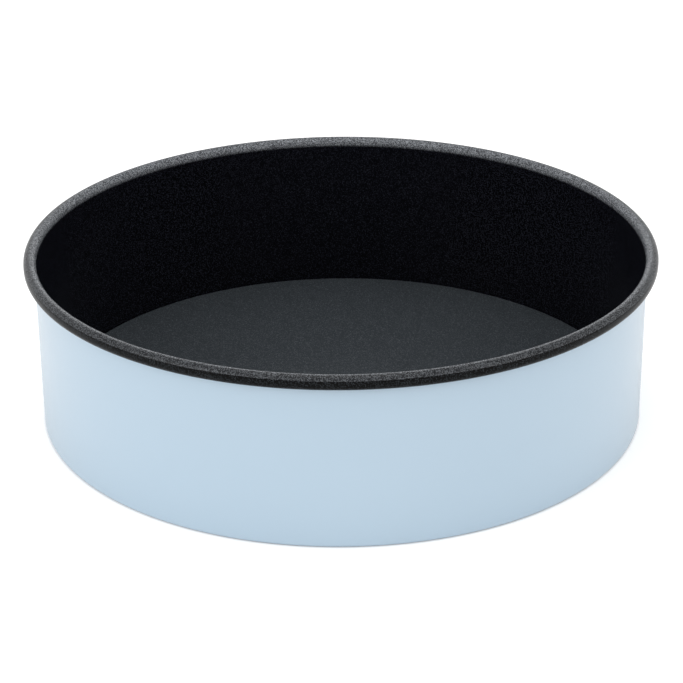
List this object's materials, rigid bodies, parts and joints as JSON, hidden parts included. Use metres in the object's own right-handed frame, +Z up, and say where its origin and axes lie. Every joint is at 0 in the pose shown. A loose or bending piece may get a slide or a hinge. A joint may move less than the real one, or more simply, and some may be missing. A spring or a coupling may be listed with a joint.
{
  "type": "cake pan",
  "caption": "Deep round cake pan with a wired, rolled rim, a ledge turned in at the foot and a flat base that lifts out.",
  "frame": {"origin": "middle of the circle that the pan stands on", "axes": "+Z up along the pan's axis of revolution; X and Y lie in the standing face, and -Y is the side that the picture is taken from"},
  "size_m": [0.2394, 0.2394, 0.0667],
  "materials": {
    "enamelled_sheet": "satin powder-blue enamel outside, black non-stick coating inside and over the rolled rim",
    "nonstick_coating": "satin black non-stick coating with a fine sparkle",
    "rim_steel": "plain drawn wire"
  },
  "bodies": {
    "pan": {"pan_wall": "enamelled_sheet", "rim_wire": "rim_steel"},
    "base": {"loose_base": "nonstick_coating"}
  },
  "joints": [
    {"name": "base_lift", "type": "slide", "parent": "pan", "child": "base", "axis": [0, 0, 1], "range_m": [0, 0.08]}
  ]
}
